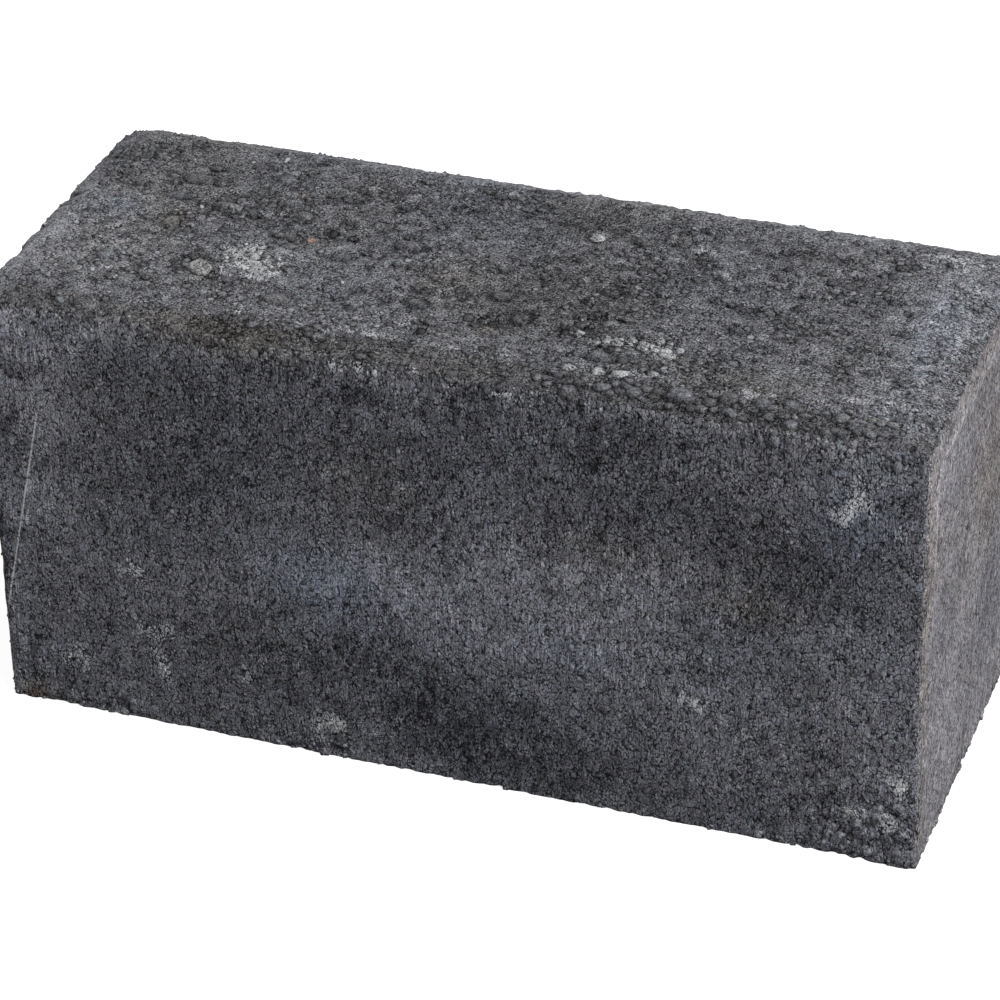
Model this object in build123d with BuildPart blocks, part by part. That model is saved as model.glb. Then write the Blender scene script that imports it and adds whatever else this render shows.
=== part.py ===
"""Concrete wall block, pressed in one piece in a mould and stood on its bed face.

Millimetres, +Z up. The origin is the middle of the bed face, +X runs along the block's length
and +Y across its width. The pressed face is on top: a flat field with rounded corners, and a
sloping facet all round it that runs down to the arrises of the four sides.
"""

import os

from build123d import *

# Overall size of the moulded block
block_length = 300.0
block_width = 120.0
block_height = 150.0

# Facet that the press head leaves round the top
facet_width = 8.0
facet_depth = 3.0
field_corner_radius = 12.0

# Worn edges: the upright arrises, the foot of the facet and the rim of the top field
arris_radius = 2.0
facet_foot_radius = 1.5
field_rim_radius = 4.0

side_height = block_height - facet_depth
field_length = block_length - 2 * facet_width
field_width = block_width - 2 * facet_width
level_tolerance = 0.001

with BuildPart() as wall_block:
    # The four sides, drawn straight up out of the mould, with rounded upright arrises
    with BuildSketch(Plane.XY):
        RectangleRounded(block_length, block_width, arris_radius)
    extrude(amount=side_height)

    # The facet, ruled from the tight corners of the sides to the wide corners of the top field
    with BuildSketch(Plane.XY.offset(side_height)):
        RectangleRounded(block_length, block_width, arris_radius)
    with BuildSketch(Plane.XY.offset(block_height)):
        RectangleRounded(field_length, field_width, field_corner_radius)
    loft(ruled=True)

    # The worn edges round the top field and along the foot of the facet
    field_rim = wall_block.faces().sort_by(Axis.Z)[-1].edges()
    fillet(field_rim, radius=field_rim_radius)
    facet_foot = wall_block.edges().filter_by_position(
        Axis.Z, side_height - level_tolerance, side_height + level_tolerance
    )
    fillet(facet_foot, radius=facet_foot_radius)

wall_block.part.label = "wall_block"

os.makedirs("parts", exist_ok=True)
export_step(wall_block.part, "parts/wall_block.step")
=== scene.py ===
"""Concrete wall block: its worn shape, its open grain and pale bloom, and a plain studio round it.

Laid out as an add-on and run as a script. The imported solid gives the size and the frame; the block
modelled here stands for it. Relief is modelled in millimetres and scaled to metres at the end.
"""

import math
import random
from collections import namedtuple

import bmesh
import bpy
from bpy.props import FloatProperty, FloatVectorProperty, PointerProperty
from bpy.types import Operator, Panel, PropertyGroup
from mathutils import Matrix, Vector, kdtree, noise


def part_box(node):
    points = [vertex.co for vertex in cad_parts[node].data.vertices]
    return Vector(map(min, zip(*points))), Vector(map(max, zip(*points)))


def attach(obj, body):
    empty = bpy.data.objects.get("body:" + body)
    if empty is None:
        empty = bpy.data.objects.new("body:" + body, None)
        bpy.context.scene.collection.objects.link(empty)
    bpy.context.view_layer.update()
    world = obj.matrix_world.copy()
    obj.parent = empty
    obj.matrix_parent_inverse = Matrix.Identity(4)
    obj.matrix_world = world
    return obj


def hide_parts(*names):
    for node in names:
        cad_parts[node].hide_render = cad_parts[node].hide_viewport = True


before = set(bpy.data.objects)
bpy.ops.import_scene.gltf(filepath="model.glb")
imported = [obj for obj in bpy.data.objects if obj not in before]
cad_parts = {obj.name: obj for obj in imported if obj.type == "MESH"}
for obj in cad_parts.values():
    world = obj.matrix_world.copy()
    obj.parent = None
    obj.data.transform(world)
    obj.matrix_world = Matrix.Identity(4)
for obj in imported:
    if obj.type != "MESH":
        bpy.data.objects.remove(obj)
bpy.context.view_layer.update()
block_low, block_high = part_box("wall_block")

bl_info = {
    "name": "Concrete wall block",
    "version": (1, 0, 0),
    "blender": (4, 5, 0),
    "location": "View3D > Sidebar > Wall block",
    "description": "Models a pressed concrete wall block with worn arrises, open grain and lime bloom",
    "category": "Add Mesh",
}

MM = 0.001
BLOCK_LENGTH = (block_high[0] - block_low[0]) / MM
BLOCK_WIDTH = (block_high[1] - block_low[1]) / MM
BLOCK_HEIGHT = (block_high[2] - block_low[2]) / MM
HALF_LENGTH = BLOCK_LENGTH / 2.0
HALF_WIDTH = BLOCK_WIDTH / 2.0
HALF_HEIGHT = BLOCK_HEIGHT / 2.0

# Marks on the top field: x, y, half length and half width in millimetres, and strength
FIELD_BLOOM = (
    (-79, -14, 11, 9, 0.85),
    (-70, -22, 9, 8, 0.65),
    (-88, -28, 4, 4, 1.0),
    (-118, -26, 13, 6, 0.4),
    (-111, -41, 2, 4, 0.9),
    (-128, 5, 8, 8, 0.4),
    (-113, 27, 5, 4, 0.45),
    (-97, 13, 6, 3, 0.5),
    (-72, 15, 5, 3, 0.5),
    (-85, 36, 6, 3, 0.4),
    (-58, 37, 3, 3, 0.5),
    (38, -49, 4, 2, 0.75),
    (47, -48.5, 3, 2.2, 0.75),
    (54, -48.5, 4, 2.2, 0.75),
    (63, -45.5, 2.5, 2.5, 0.75),
    (42, -33, 5, 2, 1.05),
    (49, -31, 5, 2, 1.05),
    (57, -29, 6, 4, 1.05),
    (62, -34, 6, 5, 0.7),
    (44, -40, 5, 4, 0.55),
    (21, 28, 3.5, 3.5, 1.1),
    (66, 16, 2.5, 3, 1.0),
    (56, 29, 4, 3, 0.6),
    (85, 27, 6, 5, 0.45),
    (100, 30, 4, 3, 0.5),
    (138, 28, 6, 16, 0.5),
    (130, 47, 13, 4, 0.6),
    (133, -42, 11, 7, 0.45),
    (138, -8, 4, 26, 0.3),
    (-18, -48, 40, 1.6, 0.65),
    (90, -47, 28, 2.0, 0.42),
)
FIELD_TORN = (
    (-96, -24, 4, 6, 1.5),
    (-90, -20.5, 6, 2.2, 1.1),
    (-83.5, -31, 3, 3, 0.9),
    (7, -31, 7, 3, 1.0),
    (30, -30, 6, 5, 0.8),
    (-14, -42, 6, 3, 1.0),
    (-108, -2, 4, 7, 0.8),
    (-93, 11, 3, 3, 0.9),
    (-36, 10, 5, 3, 0.8),
    (-59, 4, 4, 3, 0.8),
    (80, -1, 6, 4, 0.8),
    (115, 18, 5, 5, 0.6),
    (20, 36, 8, 8, 0.5),
    (-70, -57, 8, 4, 0.8),
    (-138, -51, 4, 3, 0.7),
)
FIELD_TONE = (
    (24, -4, 26, 16, -0.17),
    (6, -25, 16, 8, -0.15),
    (12, 36, 18, 14, -0.15),
    (-70, 5, 42, 5, -0.12),
    (-85, -20, 36, 26, 0.08),
    (-145, -26, 9, 22, 0.42),
    (-122, -12, 16, 24, 0.15),
    (-45, -43, 22, 8, 0.18),
    (-12, 4, 12, 9, 0.16),
    (-38, 51, 8, 8, 0.16),
    (-10, 39, 6, 6, 0.14),
    (-85, 38, 6, 6, 0.16),
    (-102, 38, 12, 9, -0.10),
    (-25, 31, 10, 8, -0.18),
    (-26, -23, 8, 7, -0.11),
    (-72, -50, 9, 6, -0.15),
    (-70, -14, 9, 9, 0.12),
    (-116, -24, 8, 6, 0.10),
    (65, 8, 10, 8, -0.08),
    (75, 37, 14, 7, -0.16),
    (65, -33, 7, 6, 0.18),
    (104, 8, 22, 34, 0.05),
    (135, 12, 9, 46, 0.23),
    # Painted light on the back facet, which catches more light
    (20, 57, 140, 5, 0.27),
    (98, 53, 16, 5, 0.08),
    (-65, 33, 50, 9, -0.07),
    (92, 34, 22, 8, -0.09),
    (25, -15, 14, 24, -0.07),
    (-113, -30, 8, 10, 0.09),
    (-73, -10, 7, 11, 0.07),
    (-130, 6, 8, 7, 0.09),
    (146, -25, 5, 14, -0.12),
    (-147, 8, 6, 20, 0.25),
    (44, -46, 10, 5, 0.13),
    (128, 46, 20, 10, 0.14),
    (136, -44, 13, 10, 0.14),
    (142, 0, 6, 40, 0.08),
    (132, -40, 13, 9, 0.10),
    (137, 26, 10, 22, 0.10),
    (98, 54, 16, 6, 0.10),
    (-12, 52, 8, 8, -0.09),
    (45, -50, 12, 6, 0.07),
    (-120, -57, 14, 5, 0.10),
    (8, -50, 8, 6, 0.07),
)
# Larger stones on the top: x, y, half length, half width and rise in millimetres, and bloom
FIELD_STONES = (
    (-112, 28, 6, 4, 1.0, 0.35),
    (-114, 15, 5, 3, 0.9, 0.2),
    (-97, 13, 5, 3, 1.0, 0.45),
    (-85, 35, 5, 3, 0.7, 0.3),
    (-57, 36.5, 4, 3, 0.9, 0.5),
    (-33, 6, 5, 4, 1.0, 0.35),
    (-72, 15, 4, 2.5, 0.8, 0.45),
    (-45, 15, 4, 3, 0.7, 0.4),
    (-50, -7, 4, 2.5, 0.8, 0.2),
    (-60, -37, 5, 3, 1.0, 0.3),
    (-18, -27, 4, 3, 0.9, 0.2),
    (-120, -27, 4, 3, 0.8, 0.2),
    (-89, -27, 4.0, 3.4, 3.4, 0.75),
    (-110, 0, 4, 5, 0.8, 0.2),
    (5, -15, 4, 3, 1.0, 0.1),
    (15, -26, 4, 4, 1.0, 0.15),
    (36, 30, 4, 3, 0.8, 0.2),
    (21, 28, 2.7, 2.3, 1.0, 0.9),
    (66, 16, 2.2, 2.4, 0.9, 0.6),
    (32, -19.5, 2.0, 1.5, 0.8, 0.6),
    (34.5, -29, 1.6, 2.2, 0.9, 0.7),
    (40.5, -33.5, 2.2, 1.4, 0.9, 0.75),
    (47, -31.5, 2.4, 1.4, 0.9, 0.8),
    (55.5, -30, 3.0, 1.6, 0.8, 0.75),
    (44, -40.5, 4, 3, 1.1, 0.4),
    (37.5, -49, 2.8, 1.7, 0.9, 0.8),
    (46.8, -48.7, 2.2, 1.9, 1.1, 0.85),
    (53, -48.7, 2.8, 2.0, 1.1, 0.85),
    (63, -46, 1.8, 1.7, 1.0, 0.8),
    (59, -27, 1.8, 1.3, 0.9, 0.9),
    (51, -29, 1.7, 1.2, 0.9, 0.85),
    (62, -31.5, 2.2, 1.4, 0.9, 0.9),
    (66, -30, 1.6, 1.2, 0.8, 0.8),
    (44, -30, 1.5, 1.2, 0.8, 0.8),
    (73, -53, 5.5, 3.5, 1.0, 0.15),
    (41, -58, 3.5, 2.5, 0.9, 0.1),
    (87.5, -51, 3.5, 3.0, 1.0, 0.15),
    (97, -51, 3.0, 2.6, 1.0, 0.1),
)
# Single grains of another colour on the top: x, y, half length, half width, bloom and warmth
FIELD_SPECKS = (
    (-63, 0, 1.4, 1.1, 0.4, 3.0),
    (-44, -22, 0.6, 0.5, 2.0, 0.0),
    (-90, 47, 0.7, 1.6, 1.0, 0.0),
    (-76, 26, 0.6, 1.5, 0.6, 2.5),
    (-104, 10, 0.7, 0.6, 1.2, 0.0),
    (-120, -38, 0.8, 0.7, 1.6, 0.0),
)
# Stains, placed as the marks are: above 0 they are brown, and below 0 blue
FIELD_HUE = (
    (-110, 1, 4, 5, 1.0),
    (-89, -27, 4, 4, 0.7),
    (6, -34, 4, 2, 1.6),
    (-72, -57, 24, 4, 0.9),
    (-15, -8, 12, 14, 0.6),
    (-130, 3, 10, 8, -0.8),
    (90, -42, 24, 8, 0.5),
    (136, -8, 8, 40, -0.5),
)
FRONT_HUE = (
    (-40, 66, 20, 16, -0.9),
    (45, 55, 16, 8, -0.4),
    (128, 118, 14, 16, -0.7),
    (97, 84, 12, 5, 1.0),
    (60, 96, 30, 8, 0.5),
    (-25, 106, 16, 10, 0.4),
    (-142, 2, 5, 4, 2.5),
    (-70, 145, 24, 4, 0.8),
)
# Marks on the front face: x, z, half length and half height in millimetres, and strength
FRONT_TONE = (
    (-74, 112, 54, 26, -0.20),
    (-95, 88, 30, 12, -0.08),
    (-8, 116, 24, 14, -0.12),
    (52, 118, 40, 18, -0.12),
    (108, 101, 26, 11, -0.28),
    (5, 22, 50, 18, -0.28),
    (-75, 32, 45, 12, -0.14),
    (48, 10, 40, 9, -0.12),
    (45, 79, 34, 14, 0.24),
    (-22, 70, 34, 14, 0.18),
    (42, 55, 50, 8, 0.14),
    (-133, 116, 12, 32, 0.24),
    (-140, 76, 10, 8, 0.22),
    (130, 72, 20, 22, 0.10),
    (100, 45, 34, 16, 0.10),
    (126, 20, 20, 16, 0.10),
    # Painted highlight: the thin light line just under the rounded front arris
    (45, 145.8, 95, 1.3, 0.26),
    (-10, 143.5, 180, 4, 0.09),
    (-14, 85, 10, 10, 0.08),
    (-15, 43, 8, 8, 0.09),
    (-140, 140, 16, 12, 0.38),
    (62, 92, 28, 9, 0.14),
    (27, 20, 19, 13, 0.15),
    (-33, 52, 12, 6, 0.10),
    (-148, 25, 5, 22, 0.22),
    (138, 25, 14, 18, 0.10),
    (142, 130, 10, 18, 0.12),
    (130, 89, 18, 9, -0.20),
    (114, 60, 26, 13, -0.14),
    (82, 113, 24, 12, -0.12),
    (-100, 90, 22, 9, -0.07),
    (-110, 16, 20, 9, -0.08),
    (-45, 13, 16, 7, -0.09),
    (-108, 140, 20, 8, 0.09),
    (72, 58, 14, 7, -0.10),
    (110, 10, 13, 8, -0.11),
    (131, 8.5, 11, 1.3, -0.3),
    (130, 4, 12, 2.5, 0.12),
    (140, 18, 6, 4, 0.12),
    (-128, 40, 16, 13, -0.09),
    (-138, 94, 14, 9, -0.14),
    (138, 15, 8, 8, 0.12),
    (-149, 57, 4, 10, -0.17),
    (-149, 5, 5, 5, 0.18),
)
FRONT_TORN = (
    (139, 14, 9, 8, 1.2),
    (127, 9, 9, 6, 1.1),
    (-40, 3, 10, 3, 0.6),
    (-110, 4, 12, 4, 0.5),
)
FRONT_BLOOM = (
    (130, 129, 7, 7, 0.72),
    (125, 121, 4, 4, 0.6),
    (129, 16, 4, 4, 0.85),
    (141, 15, 6, 5, 0.75),
    (144, 30, 4, 4, 1.0),
    (80, 46, 5, 4, 0.72),
    (95, 38, 4, 3, 0.62),
    (-97, 35, 9, 5, 0.62),
    (-95, 21, 3, 5, 0.72),
    (-102, 56, 9, 4, 0.58),
    (-126, 20, 6, 6, 0.58),
    (-39, 12, 7, 4, 0.62),
    (-26, 145, 10, 2.5, 0.58),
    (22, 144, 9, 2.5, 0.55),
)
# The scored line on the front: x and z of its upper and lower end
SCORED_LINE = ((-131.0, 114.0), (-149.4, 30.0))
# Marks on the ends: y, z, half length and half height in millimetres, and strength
END_TONE = (
    (-30, 112, 18, 22, 0.05),
    (0, 95, 10, 5, 0.10),
    (-6, 91, 2.5, 1.5, -0.22),
    (-36, 142, 3, 2.5, -0.22),
    (6, 133, 9, 5, -0.08),
    (25, 108, 14, 14, -0.08),
    (22, 80, 12, 7, -0.10),
    (-25, 80, 22, 9, -0.06),
    (-10, 60, 30, 8, 0.05),
    (28, 38, 18, 26, -0.10),
    (4, 25, 8, 5, -0.12),
    (-35, 30, 16, 30, 0.07),
    (-58, 45, 3, 30, -0.08),
    (-34, 139, 24, 8, 0.10),
    (-32, 66, 16, 13, -0.13),
    (20, 104, 8, 10, -0.08),
    (36, 40, 8, 10, -0.10),
    (10, 68, 14, 12, 0.07),
    (-51, 121, 9, 15, 0.11),
    (0, 145, 22, 5, 0.10),
    (-58, 95, 4, 9, -0.12),
    (0, 80, 9, 6, 0.07),
    (-38, 130, 16, 10, 0.06),
    (-8, 122, 6, 12, 0.07),
)
END_HUE = (
    (22, 90, 18, 30, 1.0),
    (5, 112, 30, 30, 0.3),
    (-56, 80, 5, 60, 1.2),
    (-30, 125, 24, 14, -0.7),
    (-40, 75, 14, 12, -0.5),
    (28, 50, 20, 24, -0.9),
    (20, 15, 24, 12, -0.5),
    (10, 147, 40, 4, 0.9),
)


class BlockSettings(PropertyGroup):
    """Sizes and colours of the block."""

    facet_width: FloatProperty(
        name="Facet width", description="Width of the sloping facet round the top",
        default=0.008, unit="LENGTH",
    )
    facet_depth: FloatProperty(
        name="Facet depth", description="How far the facet falls to the arris",
        default=0.003, unit="LENGTH",
    )
    field_corner: FloatProperty(
        name="Field corner", description="Corner radius of the flat top field",
        default=0.012, unit="LENGTH",
    )
    field_relief: FloatProperty(
        name="Field relief", description="Height of the lumps and pits on the pressed top",
        default=0.001, unit="LENGTH",
    )
    side_relief: FloatProperty(
        name="Side relief", description="Height of the unevenness on the drawn sides",
        default=0.0004, unit="LENGTH",
    )
    edge_wear: FloatProperty(
        name="Edge wear", description="Depth of the chips along the arrises",
        default=0.0009, unit="LENGTH",
    )
    grain_size: FloatProperty(
        name="Grain size", description="Mean size of the sand grains that show",
        default=0.0012, unit="LENGTH",
    )
    field_colour: FloatVectorProperty(
        name="Top colour", description="Mean colour of the open top",
        default=(0.121, 0.1215, 0.128), subtype="COLOR",
    )
    side_colour: FloatVectorProperty(
        name="Side colour", description="Mean colour of the long sides",
        default=(0.0805, 0.0815, 0.090), subtype="COLOR",
    )
    end_colour: FloatVectorProperty(
        name="End colour", description="Mean colour of the drawn ends",
        default=(0.160, 0.154, 0.162), subtype="COLOR",
    )
    bloom_colour: FloatVectorProperty(
        name="Bloom colour", description="Colour of the lime bloom",
        default=(0.50, 0.51, 0.52), subtype="COLOR",
    )


class StageSettings(PropertyGroup):
    """Light and floor of the studio."""

    floor_colour: FloatVectorProperty(
        name="Floor colour", description="Colour of the studio floor",
        default=(0.5, 0.5, 0.5), subtype="COLOR",
    )
    key_power: FloatProperty(
        name="Key light", description="Power of the key light",
        default=72.0, unit="POWER",
    )
    fill_level: FloatProperty(
        name="Fill level", description="Brightness of the light all round",
        default=0.45, subtype="FACTOR",
    )
    lens: FloatProperty(
        name="Lens", description="Focal length on a 36 mm sensor",
        default=146.3, unit="CAMERA",
    )


class Value:
    """A number that varies over the surface. Arithmetic on it adds the nodes that work it out."""

    def __init__(self, nodes, socket):
        self.nodes = nodes
        self.socket = socket

    def math(self, operation, first, second):
        return self.nodes.add("ShaderNodeMath", {"operation": operation}, {0: first, 1: second})

    def __add__(self, other):
        return self.math("ADD", self, other)

    def __radd__(self, other):
        return self.math("ADD", other, self)

    def __sub__(self, other):
        return self.math("SUBTRACT", self, other)

    def __rsub__(self, other):
        return self.math("SUBTRACT", other, self)

    def __mul__(self, other):
        return self.math("MULTIPLY", self, other)

    def __rmul__(self, other):
        return self.math("MULTIPLY", other, self)

    def __truediv__(self, other):
        return self.math("DIVIDE", self, other)

    def __rtruediv__(self, other):
        return self.math("DIVIDE", other, self)

    def __pow__(self, other):
        return self.math("POWER", self, other)

    def least(self, other):
        """The number, but no less than other."""
        return self.math("MAXIMUM", self, other)

    def most(self, other):
        """The number, but no more than other."""
        return self.math("MINIMUM", self, other)

    def size(self):
        """The number without its sign."""
        return self.math("ABSOLUTE", self, 0.0)

    def ramp(self, low, high):
        """0 below low, 1 above high, with a smooth rise between them."""
        sockets = {"Value": self, "From Min": low, "From Max": high}
        return self.nodes.add("ShaderNodeMapRange", {"interpolation_type": "SMOOTHSTEP"}, sockets)


class Nodes:
    """Adds nodes to one material's tree."""

    def __init__(self, material):
        material.use_nodes = True
        self.tree = material.node_tree
        self.tree.nodes.clear()

    def add(self, kind, settings=None, sockets=None, output=0):
        """Makes a node, applies its settings, fills its sockets and gives back one output."""
        node = self.tree.nodes.new(kind)
        for name, setting in (settings or {}).items():
            setattr(node, name, setting)
        for key, value in (sockets or {}).items():
            if isinstance(value, Value):
                self.tree.links.new(value.socket, node.inputs[key])
            else:
                node.inputs[key].default_value = value
        return Value(self, node.outputs[output]) if node.outputs else None

    def attribute(self, name):
        return self.add("ShaderNodeAttribute", {"attribute_name": name}, output="Fac")

    def scale(self, vector, factors):
        return self.add("ShaderNodeVectorMath", {"operation": "MULTIPLY"}, {0: vector, 1: factors})

    def shift(self, vector, by):
        return self.add("ShaderNodeVectorMath", {"operation": "ADD"}, {0: vector, 1: by})

    def noise(self, vector, size, detail=0.0, dimensions="2D"):
        """Cloud noise of the given size in millimetres, spread about 0 with a deviation near 1."""
        sockets = {"Vector": vector, "Scale": 1.0 / size, "Detail": detail}
        cloud = self.add("ShaderNodeTexNoise", {"noise_dimensions": dimensions}, sockets, output="Fac")
        return (cloud - 0.5) * 8.0

    def grains(self, vector, size):
        """Packed grains of a size: distance from each grain's middle, and two numbers for each grain."""
        settings = {"feature": "F1", "voronoi_dimensions": "2D"}
        distance = self.add("ShaderNodeTexVoronoi", settings, {"Vector": vector, "Scale": 1.0 / size})
        colour = Value(self, distance.socket.node.outputs["Color"])
        first = self.add("ShaderNodeSeparateColor", None, {0: colour})
        return distance, first, self.add("ShaderNodeSeparateColor", None, {0: colour}, output=1)

    def creases(self, vector, size, width):
        """Thin dark lines between rounded swells of about the given size, from 0 to 1."""
        swell = self.noise(vector, size, detail=1.0)
        return 1.0 - swell.size().ramp(0.0, width)

    def granules(self, vector, size, least, most):
        """Round granules of mixed radius, in shares of size.

        Gives the dome from 0 to 1, the dark rim of painted shade in the gap round it, a number for each
        granule, and where the granule lies.
        """
        distance, lot, tint = self.grains(vector, size)
        radius = (lot * (most - least) + least).least(0.0)
        inside = (radius - distance) * size
        dome = (inside / (radius * size + 0.01)).least(0.0)
        rim = (1.0 - (inside + 0.12).size().ramp(0.05, 0.5)) * (radius * 6.0).most(1.0)
        return dome * (2.0 - dome), rim, tint, (inside * 4.0).least(0.0).most(1.0)

    def blend(self, factor, first, second):
        """Mixes two colours."""
        return self.add("ShaderNodeMix", {"data_type": "RGBA"}, {0: factor, 6: first, 7: second}, output=2)

    def tint(self, colour, by):
        """Multiplies two colours."""
        return self.add("ShaderNodeVectorMath", {"operation": "MULTIPLY"}, {0: colour, 1: by})

    def dim(self, colour, factor):
        """Multiplies a colour by a number."""
        return self.add("ShaderNodeVectorMath", {"operation": "SCALE"}, {0: colour, 3: factor})


def smooth_step(low, high, value):
    """0 below low, 1 above high, with a smooth rise between them."""
    share = min(max((value - low) / (high - low), 0.0), 1.0)
    return share * share * (3.0 - 2.0 * share)


def cloud(point, size, seed, rise=None):
    """Noise between about -1 and 1 whose swells measure size across, and rise upwards."""
    return noise.noise(Vector((point[0] / size, point[1] / size, point[2] / (rise or size) + seed)))


def patches(u, v, spots):
    """Sum of soft oval patches at a place on a face."""
    total = 0.0
    for centre_u, centre_v, half_u, half_v, strength in spots:
        reach = ((u - centre_u) / half_u) ** 2 + ((v - centre_v) / half_v) ** 2
        if reach < 9.0:
            total += strength * math.exp(-reach)
    return total


def spread(share, size, cells, edge_band, edge_cells):
    """Places the grid line at share (-1 to 1) so that the outer bands of a face get finer cells."""
    step = (share + 1.0) / 2.0 * cells
    from_end = min(step, cells - step)
    if from_end <= edge_cells:
        distance = edge_band * from_end / edge_cells
    else:
        inner_step = (size - 2.0 * edge_band) / (cells - 2.0 * edge_cells)
        distance = edge_band + inner_step * (from_end - edge_cells)
    return math.copysign(size / 2.0 - distance, share)


# Numbers that each point carries for the concrete, and its distance from the nearest edge
MARKS = ("field", "ends", "hollow_shade", "bloom", "tone", "warm", "rough", "stone", "edge")
# Cells of the mesh on each axis, and how many of them share the band beside an edge, in millimetres
CELLS_X = 262
CELLS_Y = 106
CELLS_Z = 60
EDGE_CELLS = 10
EDGE_BAND = 6.0
# Height of the sides and width of the ends on the unfolded map, in shares of the true ones
SIDE_STRETCH = 0.68
END_STRETCH = 0.78
# How open the grain of the sides is, where the top varies from 0 to 1
SIDE_ROUGHNESS = 0.6


def open_box():
    """Five welded grids on the sides and the top of a cube from -1 to 1, open at the bottom."""
    bm = bmesh.new()
    quarter = math.radians(90.0)
    faces = (
        (CELLS_X, CELLS_Y, Matrix.Identity(4)),
        (CELLS_X, CELLS_Z, Matrix.Rotation(quarter, 4, "X")),
        (CELLS_X, CELLS_Z, Matrix.Rotation(-quarter, 4, "X")),
        (CELLS_Z, CELLS_Y, Matrix.Rotation(quarter, 4, "Y")),
        (CELLS_Z, CELLS_Y, Matrix.Rotation(-quarter, 4, "Y")),
    )
    lift = Matrix.Translation((0.0, 0.0, 1.0))
    for cells_u, cells_v, turn in faces:
        bmesh.ops.create_grid(bm, x_segments=cells_u, y_segments=cells_v, size=1.0, matrix=turn @ lift)
    bmesh.ops.remove_doubles(bm, verts=bm.verts, dist=1e-4)
    return bm


def facet_fall(x, y, facet_width, field_corner):
    """Share of the facet's depth lost at a place on the top: 0 on the field, 1 at the arris."""
    to_side = min(HALF_LENGTH - abs(x), HALF_WIDTH - abs(y))
    over_x = abs(x) - (HALF_LENGTH - facet_width - field_corner)
    over_y = abs(y) - (HALF_WIDTH - facet_width - field_corner)
    beyond = math.hypot(max(over_x, 0.0), max(over_y, 0.0)) + min(max(over_x, over_y), 0.0) - field_corner
    rim_softness = 0.8
    past_rim = (beyond + math.hypot(beyond, rim_softness)) / 2.0
    return past_rim / (past_rim + to_side)


def height_of_sides(settings):
    """Height of the sides from the bed to the foot of the facet."""
    return BLOCK_HEIGHT - settings.facet_depth / MM


def top_level(x, y, settings):
    """Height of the plain top at a place: level on the field, and falling on the facet."""
    fall = facet_fall(x, y, settings.facet_width / MM, settings.field_corner / MM)
    return BLOCK_HEIGHT - settings.facet_depth / MM * fall


def edge_distance(co, side_height):
    """Distance from a place on the surface to the nearest edge of the block."""
    gaps = sorted((
        HALF_LENGTH - abs(co[0]),
        HALF_WIDTH - abs(co[1]),
        min(co[2], side_height - co[2]) if co[2] < side_height else 0.0,
    ))
    return gaps[1]


def round_corner(co, side_height):
    """Moves a place near an upright arris inwards, so that the arris is round in plan."""
    radius = 2.0
    worn_more = 4.5
    at_rear_left = co.x < 0.0 and co.y > 0.0
    if at_rear_left:
        radius += worn_more * smooth_step(side_height - 30.0, side_height - 2.0, co.z)
    past_x = abs(co.x) - (HALF_LENGTH - radius)
    past_y = abs(co.y) - (HALF_WIDTH - radius)
    if past_x > 0.0 and past_y > 0.0:
        shrink = max(past_x, past_y) / math.hypot(past_x, past_y) - 1.0
        co.x += math.copysign(1.0, co.x) * past_x * shrink
        co.y += math.copysign(1.0, co.y) * past_y * shrink


def corner_distance(co):
    """Distance from a place to the nearest of the eight corners."""
    return math.dist(
        (abs(co.x), abs(co.y), abs(co.z - HALF_HEIGHT)),
        (HALF_LENGTH, HALF_WIDTH, HALF_HEIGHT),
    )


def lumps(u, v, size, seed):
    """Packed lumps of about a size: height from 0 to 1, a number for each lump, and the gap beside it."""
    distances, centres = noise.voronoi(Vector((u / size, v / size, seed)))
    between = distances[1] - distances[0]
    return smooth_step(0.0, 0.4, between), noise.cell(centres[0] * 9.7), smooth_step(0.32, 0.0, between)


def open_zone(point):
    """How far the top is torn open at a place: closed and smooth below 0, full of crumbs above 0.5."""
    slow = 0.9 * cloud(point, 30.0, 4.0) + 0.5 * cloud(point, 11.0, 9.0)
    return slow + patches(point.x, point.y, FIELD_TORN)


def field_shape(point):
    """Height in millimetres on the pressed top, how deep in a hollow the place lies as a share of painted
    shade, and how open it is.
    """
    swells = 0.35 * cloud(point, 45.0, 1.0) + 0.3 * cloud(point, 15.0, 2.0)
    openness = open_zone(point)
    rough = smooth_step(-0.1, 0.6, openness)
    hollow = smooth_step(0.2, 0.6, cloud(point, 3.4, 5.0) + 0.5 * cloud(point, 7.0, 6.0)) * rough
    torn = min(patches(point.x, point.y, FIELD_TORN), 1.0)
    fine = 0.22 * cloud(point, 2.8, 7.0) + 0.14 * cloud(point, 4.6, 8.0)
    return swells + fine - 0.7 * hollow - 0.8 * torn, max(0.8 * hollow, 0.7 * torn), rough


def side_shape(point):
    """Height in shares of the side relief, and how deep between lumps the place lies as a share of painted
    shade.
    """
    swells = 0.6 * cloud(point, 60.0, 11.0, 90.0) + 0.4 * cloud(point, 9.0, 12.0, 18.0)
    along = point.x + point.y
    lump, lump_luck, lump_gap = lumps(along, 0.6 * point.z, 4.2, 13.3)
    zone = cloud(point, 34.0, 14.0) + 0.5 * cloud(point, 12.0, 15.0)
    rough = smooth_step(0.0, 0.6, zone + 0.35 * smooth_step(110.0, 150.0, point.z))
    lost = smooth_step(0.62, 0.95, lump_luck) * rough
    gap_shade = max(0.6 * rough * lump_gap, 0.6 * lost * lump)
    return swells + rough * lump * 0.8 - lost * lump, gap_shade


def balls(count, subdivisions):
    """Unit balls in one mesh, made by doubling the first, and how many points each ball has."""
    bm = bmesh.new()
    bmesh.ops.create_icosphere(bm, subdivisions=subdivisions, radius=1.0)
    corners = len(bm.verts)
    while len(bm.verts) < count * corners:
        bmesh.ops.duplicate(bm, geom=bm.verts[:] + bm.edges[:] + bm.faces[:])
    bm.verts.ensure_lookup_table()
    spare = bm.verts[count * corners:]
    if spare:
        bmesh.ops.delete(bm, geom=spare, context="VERTS")
    bm.verts.ensure_lookup_table()
    return bm, corners


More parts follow.
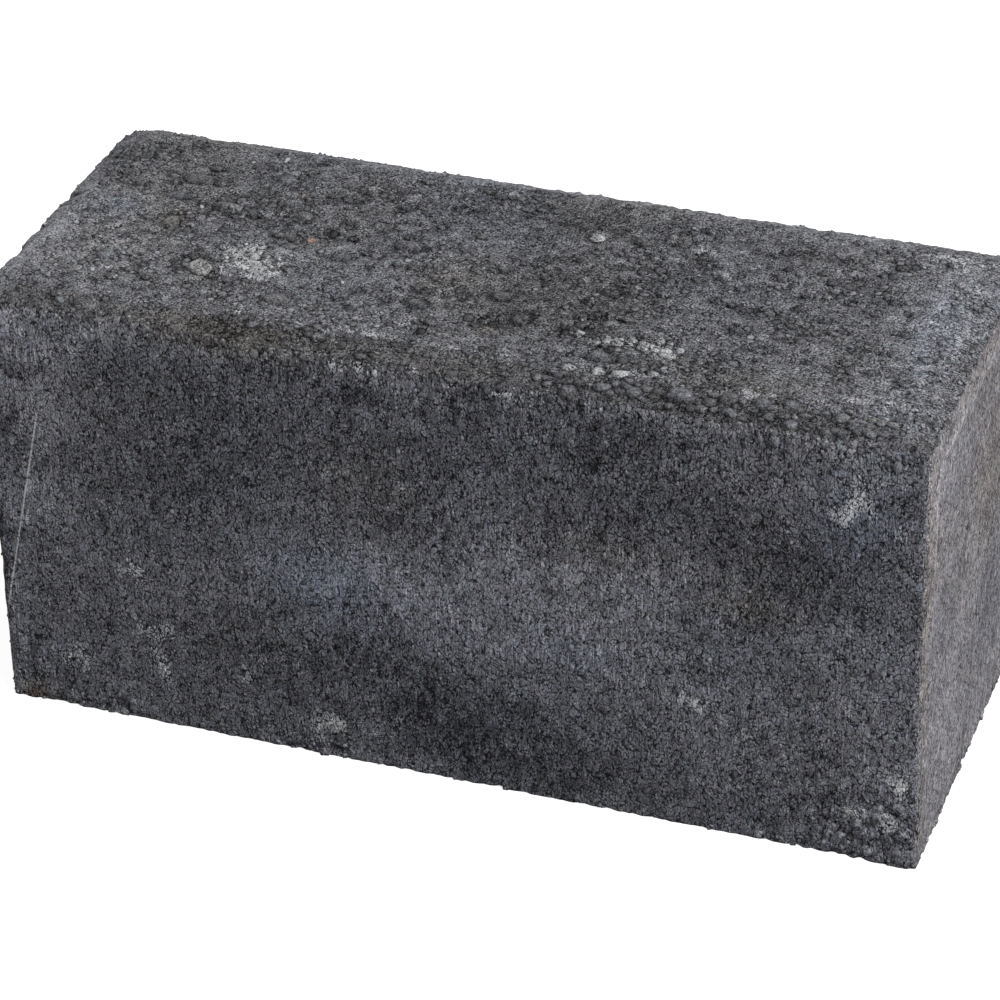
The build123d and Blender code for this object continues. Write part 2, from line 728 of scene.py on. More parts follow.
Crumb = namedtuple("Crumb", "x y half_x half_y half_z sunk polish bloom warm tone")


def crumb_spots(luck, stones):
    """Crumbs that stick out of the top: packed where it is torn, on the front facet and under the bloom."""
    spots = []
    step = 2.45
    for row in range(int(BLOCK_WIDTH / step) + 1):
        for column in range(int(BLOCK_LENGTH / step) + 1):
            x = -HALF_LENGTH + (column + luck.uniform(0.0, 1.0)) * step
            y = -HALF_WIDTH + (row + luck.uniform(0.0, 1.0)) * step
            chance = luck.random()
            size = luck.random()
            shape = (luck.uniform(0.9, 1.5), luck.uniform(0.7, 1.1), luck.uniform(0.55, 0.8))
            sunk = luck.uniform(-0.4, -0.05)
            to_edge = min(HALF_LENGTH - abs(x), HALF_WIDTH - y)
            to_corner = math.hypot(HALF_LENGTH - abs(x), HALF_WIDTH - abs(y))
            beside_edge = to_edge < 5.0 or to_corner < 11.0 or y < 2.2 - HALF_WIDTH
            if beside_edge or patches(x, y, stones) > 0.35 or patches(x, y, FIELD_TORN) > 0.8:
                continue
            on_facet = smooth_step(-48.0, -52.0, y) * smooth_step(0.0, 60.0, x)
            radius = 0.75 + 0.15 * on_facet + (1.1 + 0.6 * on_facet) * size ** (3.5 - 1.7 * on_facet)
            density = 0.12 + 0.6 * smooth_step(0.0, 0.6, open_zone(Vector((x, y, BLOCK_HEIGHT))))
            in_bloom = min(patches(x, y, FIELD_BLOOM), 1.0) * (0.9 if x > 0.0 else 0.35)
            density = max(density, 0.8 * on_facet, in_bloom)
            if y < -50.0:
                density = max(density, 0.3)
            if chance < density:
                halves = tuple(radius * share for share in shape)
                tone = luck.uniform(-0.10, 0.14) * (1.0 - 0.4 * on_facet) + 0.06 * on_facet
                spots.append(Crumb(x, y, *halves, sunk * radius, 0.45 + 0.4 * on_facet, 0.0, 0.0, tone))
    return spots


def stone_spots():
    """The larger stones and the specks, in the same terms as the crumbs."""
    spots = []
    for x, y, half_x, half_y, rise, bloom in FIELD_STONES:
        spots.append(Crumb(x, y, half_x, half_y, 2.2, 0.7 * rise - 1.8, 0.7, bloom, 0.0, 0.06))
    for x, y, half_x, half_y, bloom, warm in FIELD_SPECKS:
        spots.append(Crumb(x, y, half_x, half_y, 0.8, -0.1, 1.0, bloom, warm, 0.15))
    return spots


def spot_tree(spots):
    """Search tree over the middles of the crumbs."""
    tree = kdtree.KDTree(len(spots))
    for index, spot in enumerate(spots):
        tree.insert((spot.x, spot.y, 0.0), index)
    tree.balance()
    return tree


def trench(point, spots, tree):
    """How deep in the gap round a crumb a place on the top lies, from 0 to 1."""
    search_reach = 10.0
    deepest = 0.0
    for _, index, _ in tree.find_range((point.x, point.y, 0.0), search_reach):
        spot = spots[index]
        share = math.hypot((point.x - spot.x) / spot.half_x, (point.y - spot.y) / spot.half_y)
        outside = (share - 1.0) * min(spot.half_x, spot.half_y)
        deepest = max(deepest, smooth_step(1.5, 0.1, outside) * min(spot.half_x / 2.0, 1.0))
    return deepest


def end_ridge(point, side_height):
    """The pressed line that runs inside the edges of an end, with a dip just inside it: line, and band
    outside it. On the colour the line is a painted highlight and the dip a painted shadow.
    """
    inset = 10.0
    corner = 9.0
    over_y = abs(point.y) - (HALF_WIDTH - inset - corner)
    over_z = point.z - (side_height - inset - corner)
    beyond = math.hypot(max(over_y, 0.0), max(over_z, 0.0)) + min(max(over_y, over_z), 0.0) - corner
    beyond += 0.7 * cloud(point, 9.0, 23.0)
    fade = smooth_step(80.0, 125.0, point.z)
    line = math.exp(-(beyond / 1.7) ** 2) - 0.4 * math.exp(-((beyond + 3.4) / 1.6) ** 2)
    return fade * line, smooth_step(0.0, 1.6, beyond) * smooth_step(40.0, 100.0, point.z)


def end_shape(point, side_height):
    """Height in shares of the side relief on a drawn end."""
    line, _ = end_ridge(point, side_height)
    return 0.5 * cloud(point, 50.0, 21.0, 90.0) + 0.25 * cloud(point, 3.0, 22.0, 40.0) + 1.2 * line


def in_chip(co):
    """Whether a place lies in the broken corner at the right foot of the front, which has finer cells."""
    return co.y < 0.1 - HALF_WIDTH and 112.0 < co.x < 148.0 and 5.5 < co.z < 36.0


def front_torn(point, above=0.0):
    """How far the front is broken away at a place or above it, from 0 to 1, with a ragged rim."""
    broken = patches(point.x, point.z + above, FRONT_TORN)
    return smooth_step(0.3, 0.6, broken + 0.16 * cloud(point, 4.0, 46.0))


def mark_layers(bm):
    """Gives each point of a mesh a number for each mark."""
    return {name: bm.verts.layers.float.new(name) for name in MARKS}


def soften(bm, verts, rounds):
    """Smooths points evenly in all directions."""
    for _ in range(rounds):
        bmesh.ops.smooth_vert(
            bm, verts=verts, factor=0.5, use_axis_x=True, use_axis_y=True, use_axis_z=True
        )


def join(bm, loose):
    """Moves loose grains into the mesh of the block."""
    mesh = bpy.data.meshes.new("loose")
    loose.to_mesh(mesh)
    loose.free()
    bm.from_mesh(mesh)
    bpy.data.meshes.remove(mesh)


def refine_chip(bm):
    """Cuts the cells of the broken corner finer upwards."""
    chip_edges = [edge for edge in bm.edges if all(in_chip(vert.co) for vert in edge.verts)]
    upright = [edge for edge in chip_edges if abs(edge.verts[0].co.x - edge.verts[1].co.x) < 0.01]
    bmesh.ops.subdivide_edges(bm, edges=upright, cuts=3, use_grid_fill=True)


def close_bed(bm):
    """Closes the open bottom with a flat bed that has two rings of cells inside its rim."""
    rim = [edge for edge in bm.edges if edge.is_boundary]
    bed = bmesh.ops.holes_fill(bm, edges=rim, sides=0)["faces"]
    for length_share, width_share in ((0.99, 0.975), (0.97, 0.925)):
        inner = bed
        grown = bmesh.ops.extrude_face_region(bm, geom=inner)["geom"]
        bmesh.ops.delete(bm, geom=inner, context="FACES_ONLY")
        bed = [item for item in grown if isinstance(item, bmesh.types.BMFace)]
        ring = [item for item in grown if isinstance(item, bmesh.types.BMVert)]
        bmesh.ops.scale(bm, verts=ring, vec=(length_share, width_share, 1.0))
    bmesh.ops.triangulate(bm, faces=bed, ngon_method="BEAUTY")


def wear_edges(bm, marks):
    """Wears the arrises round, and the upper corners more."""
    arrises = [vert for vert in bm.verts if vert[marks["edge"]] < 1.3 and vert.co.z > 3.0]
    soften(bm, arrises, rounds=3)
    upper = [vert for vert in bm.verts if vert.co.z > HALF_HEIGHT]
    soften(bm, [vert for vert in upper if corner_distance(vert.co) < 8.0], rounds=10)


def block_mesh(settings):
    """The block as one closed mesh, with the marks that its concrete reads as point attributes."""
    side_height = height_of_sides(settings)
    bm = open_box()
    marks = mark_layers(bm)
    for vert in bm.verts:
        share = vert.co.copy()
        on_top = share.z > 0.9999
        vert[marks["field"]] = 1.0 if on_top else 0.0
        on_end = abs(share.x) > 0.9999
        on_side = abs(share.y) > 0.9999
        vert[marks["ends"]] = (0.5 if on_side else 1.0) if on_end and not on_top else 0.0
        vert.co.x = spread(share.x, BLOCK_LENGTH, CELLS_X, EDGE_BAND, EDGE_CELLS)
        vert.co.y = spread(share.y, BLOCK_WIDTH, CELLS_Y, EDGE_BAND, EDGE_CELLS)
        vert.co.z = spread(share.z, side_height, CELLS_Z, EDGE_BAND, EDGE_CELLS) + side_height / 2.0
        vert[marks["edge"]] = edge_distance(vert.co, side_height)
        if on_top:
            vert.co.z = top_level(vert.co.x, vert.co.y, settings)

    unfold(bm, side_height)
    refine_chip(bm)
    for vert in bm.verts:
        round_corner(vert.co, side_height)
    close_bed(bm)
    bmesh.ops.recalc_face_normals(bm, faces=bm.faces)
    wear_edges(bm, marks)
    bm.normal_update()

    stones = stone_spots()
    taken = [(x, y, half_x, half_y, 1.0) for x, y, half_x, half_y, _, _ in FIELD_STONES]
    crumbs = crumb_spots(random.Random(11), taken)
    spots = crumbs + stones
    tree = spot_tree(spots)
    moves = []
    for vert in bm.verts:
        sunken = trench(vert.co, spots, tree) if vert[marks["field"]] > 0.5 else 0.0
        moves.append(relief(vert, marks, settings, side_height, sunken))
    for vert, move in zip(bm.verts, moves):
        vert.co += move
        vert.co.z = max(vert.co.z, 0.0)
    bm.normal_update()
    add_edge_grains(bm, marks, random.Random(14), along_edges=820, in_chips=170)
    bmesh.ops.scale(bm, verts=bm.verts, vec=(MM, MM, MM))
    add_crumbs(bm, settings, crumbs, subdivisions=1, seed=12)
    add_crumbs(bm, settings, stones, subdivisions=2, seed=13)

    mesh = bpy.data.meshes.new("wall_block_worn")
    bm.to_mesh(mesh)
    bm.free()
    mesh.shade_smooth()
    return mesh


def unfold(bm, side_height):
    """Lays the sides flat round the top in one map, in metres. The sides are drawn out upwards on it."""
    layer = bm.loops.layers.uv.new("unfolded")
    for face in bm.faces:
        normal = face.normal
        for loop in face.loops:
            x, y, z = loop.vert.co
            down = SIDE_STRETCH * (side_height - z)
            if abs(normal.x) > 0.9:
                x += math.copysign(down, normal.x)
                y *= END_STRETCH
            elif abs(normal.y) > 0.9:
                y += math.copysign(down, normal.y)
            loop[layer].uv = (x * MM, y * MM)


def add_crumbs(bm, settings, spots, subdivisions, seed):
    """Adds one rounded crumb to the block's mesh for each spot on the top."""
    luck = random.Random(seed)
    loose, corners = balls(len(spots), subdivisions)
    marks = mark_layers(loose)
    layer = loose.loops.layers.uv.new("unfolded")
    for index, spot in enumerate(spots):
        base = Vector((spot.x, spot.y, top_level(spot.x, spot.y, settings)))
        height, _, _ = field_shape(base)
        base.z += height * settings.field_relief / MM
        seed_place = Vector((index * 3.7, luck.uniform(0.0, 9.0), 0.0))
        dusted = luck.uniform(0.3, 1.3)
        tone = spot.tone + patches(spot.x, spot.y, FIELD_TONE)
        warm = spot.warm + 0.6 * patches(spot.x, spot.y, FIELD_HUE) + luck.uniform(-0.3, 0.4)
        for vert in loose.verts[index * corners:(index + 1) * corners]:
            ball = vert.co * (1.0 + 0.45 * noise.noise(vert.co * 1.6 + seed_place))
            if subdivisions == 1:
                ball.z = min(ball.z, 0.45 + 0.35 * ball.z)
            offset = Vector((ball.x * spot.half_x, ball.y * spot.half_y, ball.z * spot.half_z + spot.sunk))
            vert.co = base + offset
            vert[marks["field"]] = 1.0
            # Painted shade on the lower side of each crumb, where it sits in the top
            vert[marks["hollow_shade"]] = 0.6 * smooth_step(0.35 * spot.half_z, -0.25 * spot.half_z, offset.z)
            dusting = min(1.4 * dusted * patches(vert.co.x, vert.co.y, FIELD_BLOOM), 1.1)
            vert[marks["bloom"]] = spot.bloom or dusting
            vert[marks["tone"]] = tone
            vert[marks["warm"]] = warm
            vert[marks["stone"]] = spot.polish
    for face in loose.faces:
        for loop in face.loops:
            x, y, z = loop.vert.co
            loop[layer].uv = (x * MM, (y + 0.6 * (z - BLOCK_HEIGHT)) * MM)
    bmesh.ops.scale(loose, verts=loose.verts, vec=(MM, MM, MM))
    join(bm, loose)


def add_edge_grains(bm, marks, luck, along_edges, in_chips):
    """Seats small grains in points of the surface along the edges and in the chips at the foot."""
    small_growth = 0.5
    foot_growth = 1.2
    chip_growth = 2.1
    beside = []
    chipped = []
    for vert in bm.verts:
        on_front = vert.co.y < 4.0 - HALF_WIDTH and vert[marks["field"]] < 0.2
        if vert.co.z > 0.3 and on_front and patches(vert.co.x, vert.co.z, FRONT_TORN) > 0.3:
            chipped.append(vert)
        elif vert.co.z > 0.3 and vert[marks["edge"]] < 2.0:
            beside.append(vert)
    seats = []
    for vert in luck.sample(beside, along_edges):
        seats.append((vert, foot_growth if vert.co.z < 2.5 else small_growth))
    for vert in luck.sample(chipped, in_chips):
        seats.append((vert, chip_growth))
    layer = bm.loops.layers.uv["unfolded"]
    loose, corners = balls(len(seats), 1)
    loose_marks = mark_layers(loose)
    loose_layer = loose.loops.layers.uv.new("unfolded")
    places = []
    for index, (seat, growth) in enumerate(seats):
        radius = 0.5 + growth * luck.random() ** 2.0
        middle = seat.co - seat.normal * radius * luck.uniform(0.25, 0.6)
        tone = luck.uniform(-0.05, 0.25)
        places.append((seat.co.copy(), seat.link_loops[0][layer].uv.copy()))
        for vert in loose.verts[index * corners:(index + 1) * corners]:
            ball = vert.co * (1.0 + 0.4 * noise.noise(vert.co * 1.6 + Vector((index * 3.7, 5.0, 0.0))))
            vert.co = middle + ball * radius
            vert.co.z = max(vert.co.z, 0.0)
            for name in MARKS:
                vert[loose_marks[name]] = seat[marks[name]]
            vert[loose_marks["tone"]] += tone
            # Half of the seat's painted shade
            vert[loose_marks["hollow_shade"]] *= 0.5
            vert[loose_marks["stone"]] = 0.3
    for face in loose.faces:
        for loop in face.loops:
            seat_place, seat_uv = places[loop.vert.index // corners]
            away = loop.vert.co - seat_place
            loop[loose_layer].uv = seat_uv + Vector((away.x + 0.4 * away.z, away.y + 0.7 * away.z)) * MM
    join(bm, loose)


def relief(vert, marks, settings, side_height, sunken):
    """How far one point of the surface moves, in millimetres. Sets the painted shade of its hollows and the
    marks of its stains.
    """
    point = vert.co
    field = vert[marks["field"]]
    ends = vert[marks["ends"]]
    edge = vert[marks["edge"]]
    if point.z < 1e-3 and vert.normal.z < -0.99:
        return Vector((0.0, 0.0, 0.0))
    if field > 0.5:
        rise, pit_shade, rough = field_shape(point)
        rise *= settings.field_relief / MM
        # How much painted shade falls in the gap round a crumb, less on the front facet
        trench_shade = 0.5 - 0.15 * smooth_step(-48.0, -52.0, point.y)
        pit_shade = max(0.9 * pit_shade, trench_shade * sunken)
    else:
        rise, pit_shade = side_shape(point)
        rise += (end_shape(point, side_height) - rise) * ends
        rise = rise * settings.side_relief / MM
        pit_shade *= 1.0 - ends
        rough = SIDE_ROUGHNESS
    vert[marks["rough"]] = rough
    calm = smooth_step(0.0, 3.0, edge)
    rise *= 0.35 + 0.65 * calm
    rise -= 0.35 * sunken

    if point.y < -50.0 and field < 0.5 and ends < 0.5:
        torn = front_torn(point)
        # Painted shadow just under the upper rim of the broken foot, where the ledge hangs over
        ledge_shadow = max(torn - front_torn(point, above=2.5), 0.0)
        broken = cloud(point, 5.0, 45.0)
        rise -= torn * (0.9 + 1.5 * max(broken, -0.3))
        pit_shade = max(pit_shade, torn * smooth_step(-0.1, 0.5, broken) * 0.6, 0.8 * ledge_shadow)
    near_edge = smooth_step(3.5, 0.0, edge)
    chip = smooth_step(0.05, 0.6, cloud(point, 8.0, 31.0) + 0.6 * cloud(point, 3.0, 32.0))
    crumb = 0.5 * cloud(point, 2.2, 33.0)
    rise += near_edge * (crumb - settings.edge_wear / MM * chip) * smooth_step(-3.0, 4.0, point.z)
    near_bed = smooth_step(5.0, 0.0, point.z)
    bite = smooth_step(0.0, 0.7, cloud(point, 5.0, 41.0) + 0.7 * cloud(point, 2.2, 42.0))
    rise += near_bed * (0.5 * cloud(point, 3.0, 43.0) - 0.4 * bite)
    move = vert.normal * rise

    # The foot spreads a little at the right, and its edge is ragged
    move.x += 0.9 * smooth_step(70.0, 5.0, point.z) * smooth_step(100.0, 150.0, point.x)
    at_front = smooth_step(-40.0, -58.0, point.y)
    move.y -= smooth_step(16.0, 2.0, point.z) * smooth_step(120.0, 148.0, point.x) * at_front
    move.z += smooth_step(1.5, 0.0, point.z) * 0.6 * smooth_step(0.1, 0.7, cloud(point, 4.0, 44.0))

    # Painted shade in the hollows: in pits and gaps, in the chips along the arrises, in the bites at the
    # foot and under the ledge of the broken foot
    vert[marks["hollow_shade"]] = max(pit_shade, near_edge * chip * 0.5, near_bed * bite * 0.8)
    stain(vert, marks, side_height, sunken)
    return move


def stain(vert, marks, side_height, sunken):
    """Sets the marks of one point of the surface for its bloom, its tone and its colour."""
    point = vert.co
    field = vert[marks["field"]]
    ends = vert[marks["ends"]]
    face_bloom = 0.25 * smooth_step(0.25, 0.7, cloud(point, 26.0, 51.0) + 0.4 * cloud(point, 9.0, 52.0))
    tone = 0.22 * cloud(point, 55.0, 53.0) + 0.14 * cloud(point, 20.0, 54.0)
    warm = 0.8 * cloud(point, 48.0, 55.0)
    if field > 0.5:
        facet = smooth_step(9.5, 6.5, HALF_WIDTH + point.y)
        face_bloom = (face_bloom + patches(point.x, point.y, FIELD_BLOOM)) * (1.0 - 0.6 * sunken)
        # Painted shade darkens the sloping front facet, which turns from the light; its brown cast is its
        # own colour
        tone = 0.4 * tone + patches(point.x, point.y, FIELD_TONE) - 0.11 * facet
        warm = 0.6 * warm + patches(point.x, point.y, FIELD_HUE) + 0.3 * facet
        vert[marks["stone"]] = 0.35 * facet
        vert[marks["field"]] = 1.0 - 0.35 * smooth_step(6.0, 0.0, vert[marks["edge"]])
    elif ends < 0.5:
        if point.y < 0.0:
            face_bloom += patches(point.x, point.z, FRONT_BLOOM)
            tone = 0.4 * tone + patches(point.x, point.z, FRONT_TONE)
            warm = 0.4 * warm + patches(point.x, point.z, FRONT_HUE)
        ragged = 4.0 * cloud(point, 9.0, 56.0) + 3.0 * cloud(point, 4.0, 57.0)
        vert[marks["field"]] = 0.65 * smooth_step(8.0, 0.0, side_height - point.z + ragged)
    else:
        line, band = end_ridge(point, side_height)
        # The ridge line is painted lighter as a highlight, and the dip just inside it darker as painted
        # shadow
        tone = 0.6 * tone + 0.26 * line - 0.02 * band + patches(point.y, point.z, END_TONE)
        warm = 0.1 + 0.3 * warm + 0.1 * band + 0.5 * patches(point.y, point.z, END_HUE)
        face_bloom *= 0.2
    vert[marks["bloom"]] = face_bloom
    vert[marks["tone"]] = tone
    vert[marks["warm"]] = warm


def front_level(z, side_height):
    """Where a height on the front face lies on the unfolded map, in millimetres."""
    return -HALF_WIDTH - SIDE_STRETCH * (side_height - z)


def scored_line(nodes, place, side_height):
    """The scored line on the front: 1 on it and 0 beside it."""
    fade = 6.0
    along = nodes.add("ShaderNodeSeparateXYZ", None, {0: place}, output="X")
    down = nodes.add("ShaderNodeSeparateXYZ", None, {0: place}, output="Y")
    (top_x, top_z), (foot_x, foot_z) = SCORED_LINE
    top_down = front_level(top_z, side_height)
    foot_down = front_level(foot_z, side_height)
    off_line = along - top_x - (down - top_down) * ((foot_x - top_x) / (foot_down - top_down))
    on_line = 1.0 - off_line.size().ramp(0.1, 0.45)
    return on_line * (down - foot_down).ramp(0.0, fade) * (top_down - down).ramp(0.0, fade)


def white_dots(nodes, place, size, inner, outer, lot_from):
    """Small white dots, one in each cell of the given size whose lot is high enough."""
    middle, lot, _ = nodes.grains(place, size)
    return (1.0 - middle.ramp(inner, outer)) * lot.ramp(lot_from, lot_from + 0.02)


def concrete(settings):
    """Dyed concrete: grains with dark gaps, drawn upwards on the sides, with stains, lime bloom and painted
    shade in the hollows.
    """
    material = bpy.data.materials.new("dyed_concrete")
    nodes = Nodes(material)
    object_place = nodes.add("ShaderNodeTexCoord", output="Object")
    streaked = nodes.scale(object_place, (1.0 / MM, 1.0 / MM, 0.2 / MM))
    unfolded = nodes.add("ShaderNodeUVMap", {"uv_map": "unfolded"})
    place = nodes.scale(unfolded, (1.0 / MM,) * 3)
    field = nodes.attribute("field")
    ends = nodes.attribute("ends")
    hollow_shade = nodes.attribute("hollow_shade")
    bloom = nodes.attribute("bloom")
    tone = nodes.attribute("tone")
    warm = nodes.attribute("warm")
    rough = nodes.attribute("rough")
    stone = nodes.attribute("stone")
    on_top = field.ramp(0.1, 0.6)
    on_sides = (1.0 - field) * (1.0 - ends)

    # Sand and crumbs with dark gaps, on a map that is turned and bent so that no rows show
    grain_size = settings.grain_size / MM
    patchy = nodes.noise(place, 5.0, detail=2.0)
    dust = nodes.noise(place, grain_size * 0.45, detail=1.0)
    streaks = nodes.noise(streaked, 0.5, detail=1.0, dimensions="3D")
    drawn = nodes.noise(nodes.scale(streaked, (1.0, 1.0, 0.3)), 0.42, dimensions="3D")
    turn = {"Vector": place, "Angle": 0.6}
    turned = nodes.add("ShaderNodeVectorRotate", {"rotation_type": "Z_AXIS"}, turn)
    bend = nodes.add("ShaderNodeCombineXYZ", None, {0: patchy * 0.15, 1: patchy * 0.15})
    turned = nodes.shift(turned, bend)
    sand = 0.35 - nodes.creases(turned, grain_size * 1.28, 0.6)
    crumbs = 0.25 - nodes.creases(turned, grain_size * 2.6, 0.45) * (0.75 + 0.4 * patchy).least(0.1)
    fine = dust.most(0.9) * (0.28 + 0.1 * on_top) + (dust - 1.2).least(0.0) * 0.6
    grain = fine + sand * (1.2 + 0.15 * on_top + 0.2 * rough) + crumbs * (0.5 + 0.4 * rough)
    grain = grain + patchy * (0.16 + 0.05 * on_top)
    grain = grain + (streaks * 0.34 + drawn * 0.1 + patchy * 0.04 - grain * 0.12) * ends

    # Round granules on the open parts of the top, with painted shade in the gap round each
    jitter = nodes.add("ShaderNodeCombineXYZ", None, {0: dust * 0.09, 1: dust * -0.08})
    bent = nodes.shift(place, jitter)
    loose = (rough * 0.7 + 0.2) * on_top * (1.0 - stone)
    small, small_rim_shade, small_tint, on_small = nodes.granules(
        bent, 2.7, least=loose * 0.5 - 0.35, most=loose * 0.35 + 0.30
    )
    large, large_rim_shade, large_tint, on_large = nodes.granules(
        bent, 5.2, least=loose * 0.6 - 0.75, most=loose * 0.25 + 0.22
    )
    on_small = on_small * (1.0 - on_large)
    small_tint = small_tint - 0.5 + small_tint.ramp(0.85, 1.0) * 0.6
    large_tint = large_tint - 0.5
    grain = grain + (0.1 + dust * 0.2 + small_tint * 1.1 + small * 0.35 - grain) * on_small * 0.85
    grain = grain + (0.15 + dust * 0.2 + large_tint * 1.1 + large * 0.35 - grain) * on_large * 0.85
    # Painted shade in the gaps round the granules
    grain = grain - (small_rim_shade * (1.0 - on_large) * 0.6 + large_rim_shade * 0.75) * (0.4 + 0.6 * on_top)
    grain = grain + (0.14 - grain * 0.65) * stone

    # Smears and hairlines that the mould drew on the long sides
    smears = nodes.noise(nodes.scale(place, (1.0, 0.55, 1.0)), 2.4, detail=1.0).ramp(0.7, 1.9) * on_sides
    grain = grain + (0.3 + streaks * 0.3 - grain * 0.55) * smears
    hairlines = drawn.ramp(0.9, 2.2) * on_sides * (0.4 + 0.6 * (tone + 0.1).ramp(0.0, 0.3))

    # Colour of the faces, lighter and darker with the grain, darker in the hollows with painted shade, with
    # brown, blue and green casts
    contrast = 0.61 - 0.075 * on_top - 0.16 * ends
    lightness = 0.89 - 0.01 * on_top + grain * contrast + tone - hollow_shade * 0.6 + hairlines * 0.55
    lightness = lightness.least(0.22) ** 2.2
    side = nodes.blend(ends, tuple(settings.side_colour) + (1.0,), tuple(settings.end_colour) + (1.0,))
    body = nodes.blend(field, side, tuple(settings.field_colour) + (1.0,))
    mottle = nodes.noise(nodes.shift(place, (40.0, 90.0, 0.0)), 2.0, detail=1.0)
    hue = (warm * 0.5 + mottle * 0.1 + 0.5).least(0.0).most(1.0)
    hue = nodes.blend(hue, (0.90, 0.98, 1.12, 1.0), (1.07, 1.0, 0.91, 1.0))
    hue = nodes.blend((warm - 1.0).ramp(0.2, 3.0), hue, (1.9, 1.05, 0.7, 1.0))
    body = nodes.tint(body, hue)
    cast = nodes.noise(nodes.shift(place, (-70.0, 20.0, 0.0)), 3.2, detail=2.0) * 0.2 + 0.5
    cast = nodes.blend(cast.least(0.0).most(1.0), (1.025, 0.965, 1.02, 1.0), (0.975, 1.035, 0.98, 1.0))
    body = nodes.tint(body, cast)
    body = nodes.dim(body, lightness)

    # Lime: bloom on the grains, white flecks in it, single specks and the scored line
    dusting = (bloom * 1.25 + grain * 0.42 + patchy * 0.07 - 0.62).ramp(0.0, 0.85)
    scored = scored_line(nodes, place, height_of_sides(settings))
    specks = white_dots(nodes, place, 11.0, 0.025, 0.05, lot_from=0.7)
    flecks = white_dots(nodes, place, 2.6, 0.1, 0.22, lot_from=0.4) * (bloom - 0.25).ramp(0.0, 0.5)
    dusting = (dusting + scored * 0.75 + specks * 0.5 + flecks * 0.4).most(1.0)
    lime = nodes.dim(tuple(settings.bloom_colour), (0.9 + grain * 0.25).least(0.4))
    body = nodes.blend(dusting * 0.85, body, lime)

    height = (sand * 0.25 + crumbs * 0.45) * (1.0 - 0.6 * ends) * (1.0 - on_small) * (1.0 - on_large)
    height = height + small * on_small * 0.9 + large * 1.6
    bumped = nodes.add("ShaderNodeBump", None, {"Strength": 0.6, "Distance": 0.001, "Height": height})
    surface = nodes.add(
        "ShaderNodeBsdfPrincipled",
        None,
        {"Base Color": body, "Roughness": 0.92, "Specular IOR Level": 0.1, "Normal": bumped},
    )
    nodes.add("ShaderNodeOutputMaterial", None, {"Surface": surface})
    return material


class OBJECT_OT_wall_block(Operator):
    """Models the worn block and gives it its concrete"""

    bl_idname = "object.wall_block_add"
    bl_label = "Wall block"

    def execute(self, context):
        settings = context.scene.wall_block
        block = bpy.data.objects.new("wall_block_worn", block_mesh(settings))
        context.collection.objects.link(block)
        block.data.materials.append(concrete(settings))
        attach(block, "root")
        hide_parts("wall_block")
        return {"FINISHED"}


def seen_rays(nodes):
    """1 for rays that the camera follows, straight, mirrored or through glass, and 0 for other rays."""
    straight = nodes.add("ShaderNodeLightPath", output="Is Camera Ray")
    mirrored = nodes.add("ShaderNodeLightPath", output="Is Glossy Ray")
    through = nodes.add("ShaderNodeLightPath", output="Is Transmission Ray")
    return (straight + mirrored + through).most(1.0)


def floor_material(colour):
    """Pale floor. The camera sees it lightened towards white; other rays meet a mid grey."""
    material = bpy.data.materials.new("studio_floor")
    nodes = Nodes(material)
    shaded = nodes.add("ShaderNodeBsdfDiffuse", None, {"Color": tuple(colour) + (1.0,)})
    white = nodes.add("ShaderNodeEmission", None, {"Color": (1.0, 1.0, 1.0, 1.0), "Strength": 0.76})
    grey = nodes.add("ShaderNodeBsdfDiffuse", None, {"Color": (0.35, 0.35, 0.35, 1.0)})
    lightened = nodes.add("ShaderNodeAddShader", None, {0: shaded, 1: white})
    floor = nodes.add("ShaderNodeMixShader", None, {0: seen_rays(nodes), 1: grey, 2: lightened})
    nodes.add("ShaderNodeOutputMaterial", None, {"Surface": floor})
    return material


def studio_world(level):
    """Even light all round, and white where the camera or a reflection looks past the floor."""
    world = bpy.data.worlds.new("studio")
    nodes = Nodes(world)
    strength = level + (1.0 - level) * seen_rays(nodes)
    sky = nodes.add("ShaderNodeBackground", None, {"Color": (1.0, 1.0, 1.0, 1.0), "Strength": strength})
    nodes.add("ShaderNodeOutputWorld", None, {"Surface": sky})
    return world


def area_light(name, place, aim, size, power):
    """A square soft light that points at a place."""
    lamp = bpy.data.lights.new(name, "AREA")
    lamp.size = size
    lamp.energy = power
    light = bpy.data.objects.new(name, lamp)
    light.location = place
    light.rotation_euler = (Vector(aim) - Vector(place)).to_track_quat("-Z", "Y").to_euler()
    bpy.context.collection.objects.link(light)


# Places of the studio in metres, and the camera's turn in degrees
FLOOR_HALF = 12.0
LIGHTS_AIM = (0.0, 0.0, 0.07)
KEY_PLACE = (2.0, -0.95, 1.65)
KEY_SIZE = 1.2
BACK_PLACE = (-1.6, 2.0, 1.1)
BACK_SIZE = 1.6
BACK_SHARE = 0.3
CAMERA_PLACE = (0.3718, -1.0199, 0.7550)
CAMERA_TURN = (57.626, 1.062, 19.481)
SENSOR_WIDTH = 36.0


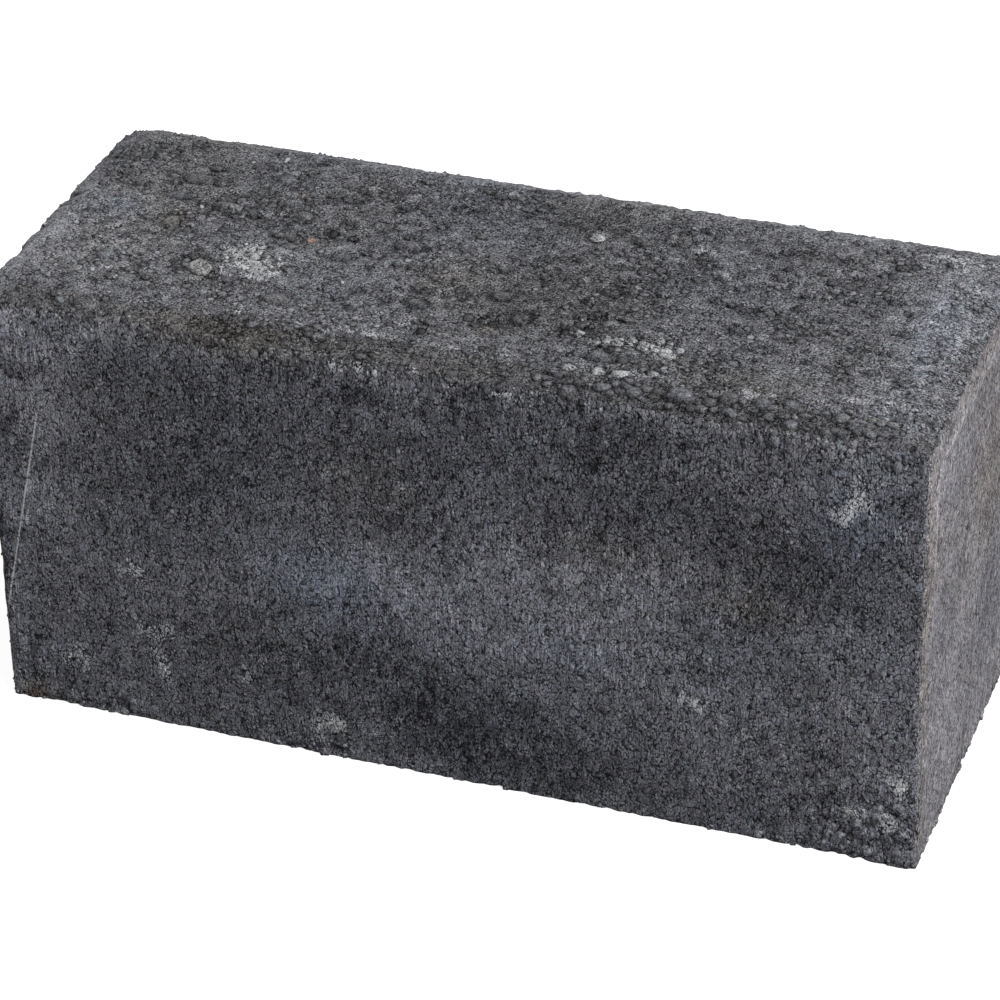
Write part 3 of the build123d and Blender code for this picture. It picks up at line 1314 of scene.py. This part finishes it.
class SCENE_OT_block_stage(Operator):
    """Lays the floor and sets the lights and the camera"""

    bl_idname = "scene.wall_block_stage"
    bl_label = "Studio"

    def execute(self, context):
        settings = context.scene.wall_block_stage
        bm = bmesh.new()
        bmesh.ops.create_grid(bm, x_segments=1, y_segments=1, size=FLOOR_HALF)
        mesh = bpy.data.meshes.new("studio_floor")
        bm.to_mesh(mesh)
        bm.free()
        floor = bpy.data.objects.new("studio_floor", mesh)
        floor.data.materials.append(floor_material(settings.floor_colour))
        context.collection.objects.link(floor)

        context.scene.world = studio_world(settings.fill_level)
        back_power = BACK_SHARE * settings.key_power
        area_light("key_light", KEY_PLACE, LIGHTS_AIM, KEY_SIZE, settings.key_power)
        area_light("back_light", BACK_PLACE, LIGHTS_AIM, BACK_SIZE, back_power)

        camera_data = bpy.data.cameras.new("studio_camera")
        camera_data.lens = settings.lens
        camera_data.sensor_width = SENSOR_WIDTH
        camera = bpy.data.objects.new("studio_camera", camera_data)
        camera.location = CAMERA_PLACE
        camera.rotation_euler = [math.radians(angle) for angle in CAMERA_TURN]
        context.collection.objects.link(camera)
        context.scene.camera = camera
        context.scene.view_settings.view_transform = "Standard"
        return {"FINISHED"}


class VIEW3D_PT_wall_block(Panel):
    """Lists the block's steps and settings"""

    bl_label = "Wall block"
    bl_idname = "VIEW3D_PT_wall_block"
    bl_space_type = "VIEW_3D"
    bl_region_type = "UI"
    bl_category = "Wall block"

    def draw(self, context):
        steps = (
            (context.scene.wall_block, OBJECT_OT_wall_block),
            (context.scene.wall_block_stage, SCENE_OT_block_stage),
        )
        for group, step in steps:
            for name in group.__annotations__:
                self.layout.prop(group, name)
            self.layout.operator(step.bl_idname)


CLASSES = (BlockSettings, StageSettings, OBJECT_OT_wall_block, SCENE_OT_block_stage, VIEW3D_PT_wall_block)


def register():
    for cls in CLASSES:
        bpy.utils.register_class(cls)
    bpy.types.Scene.wall_block = PointerProperty(type=BlockSettings)
    bpy.types.Scene.wall_block_stage = PointerProperty(type=StageSettings)


def unregister():
    del bpy.types.Scene.wall_block_stage
    del bpy.types.Scene.wall_block
    for cls in reversed(CLASSES):
        bpy.utils.unregister_class(cls)


def main():
    register()
    bpy.ops.object.wall_block_add()
    bpy.ops.scene.wall_block_stage()


if __name__ == "__main__":
    main()
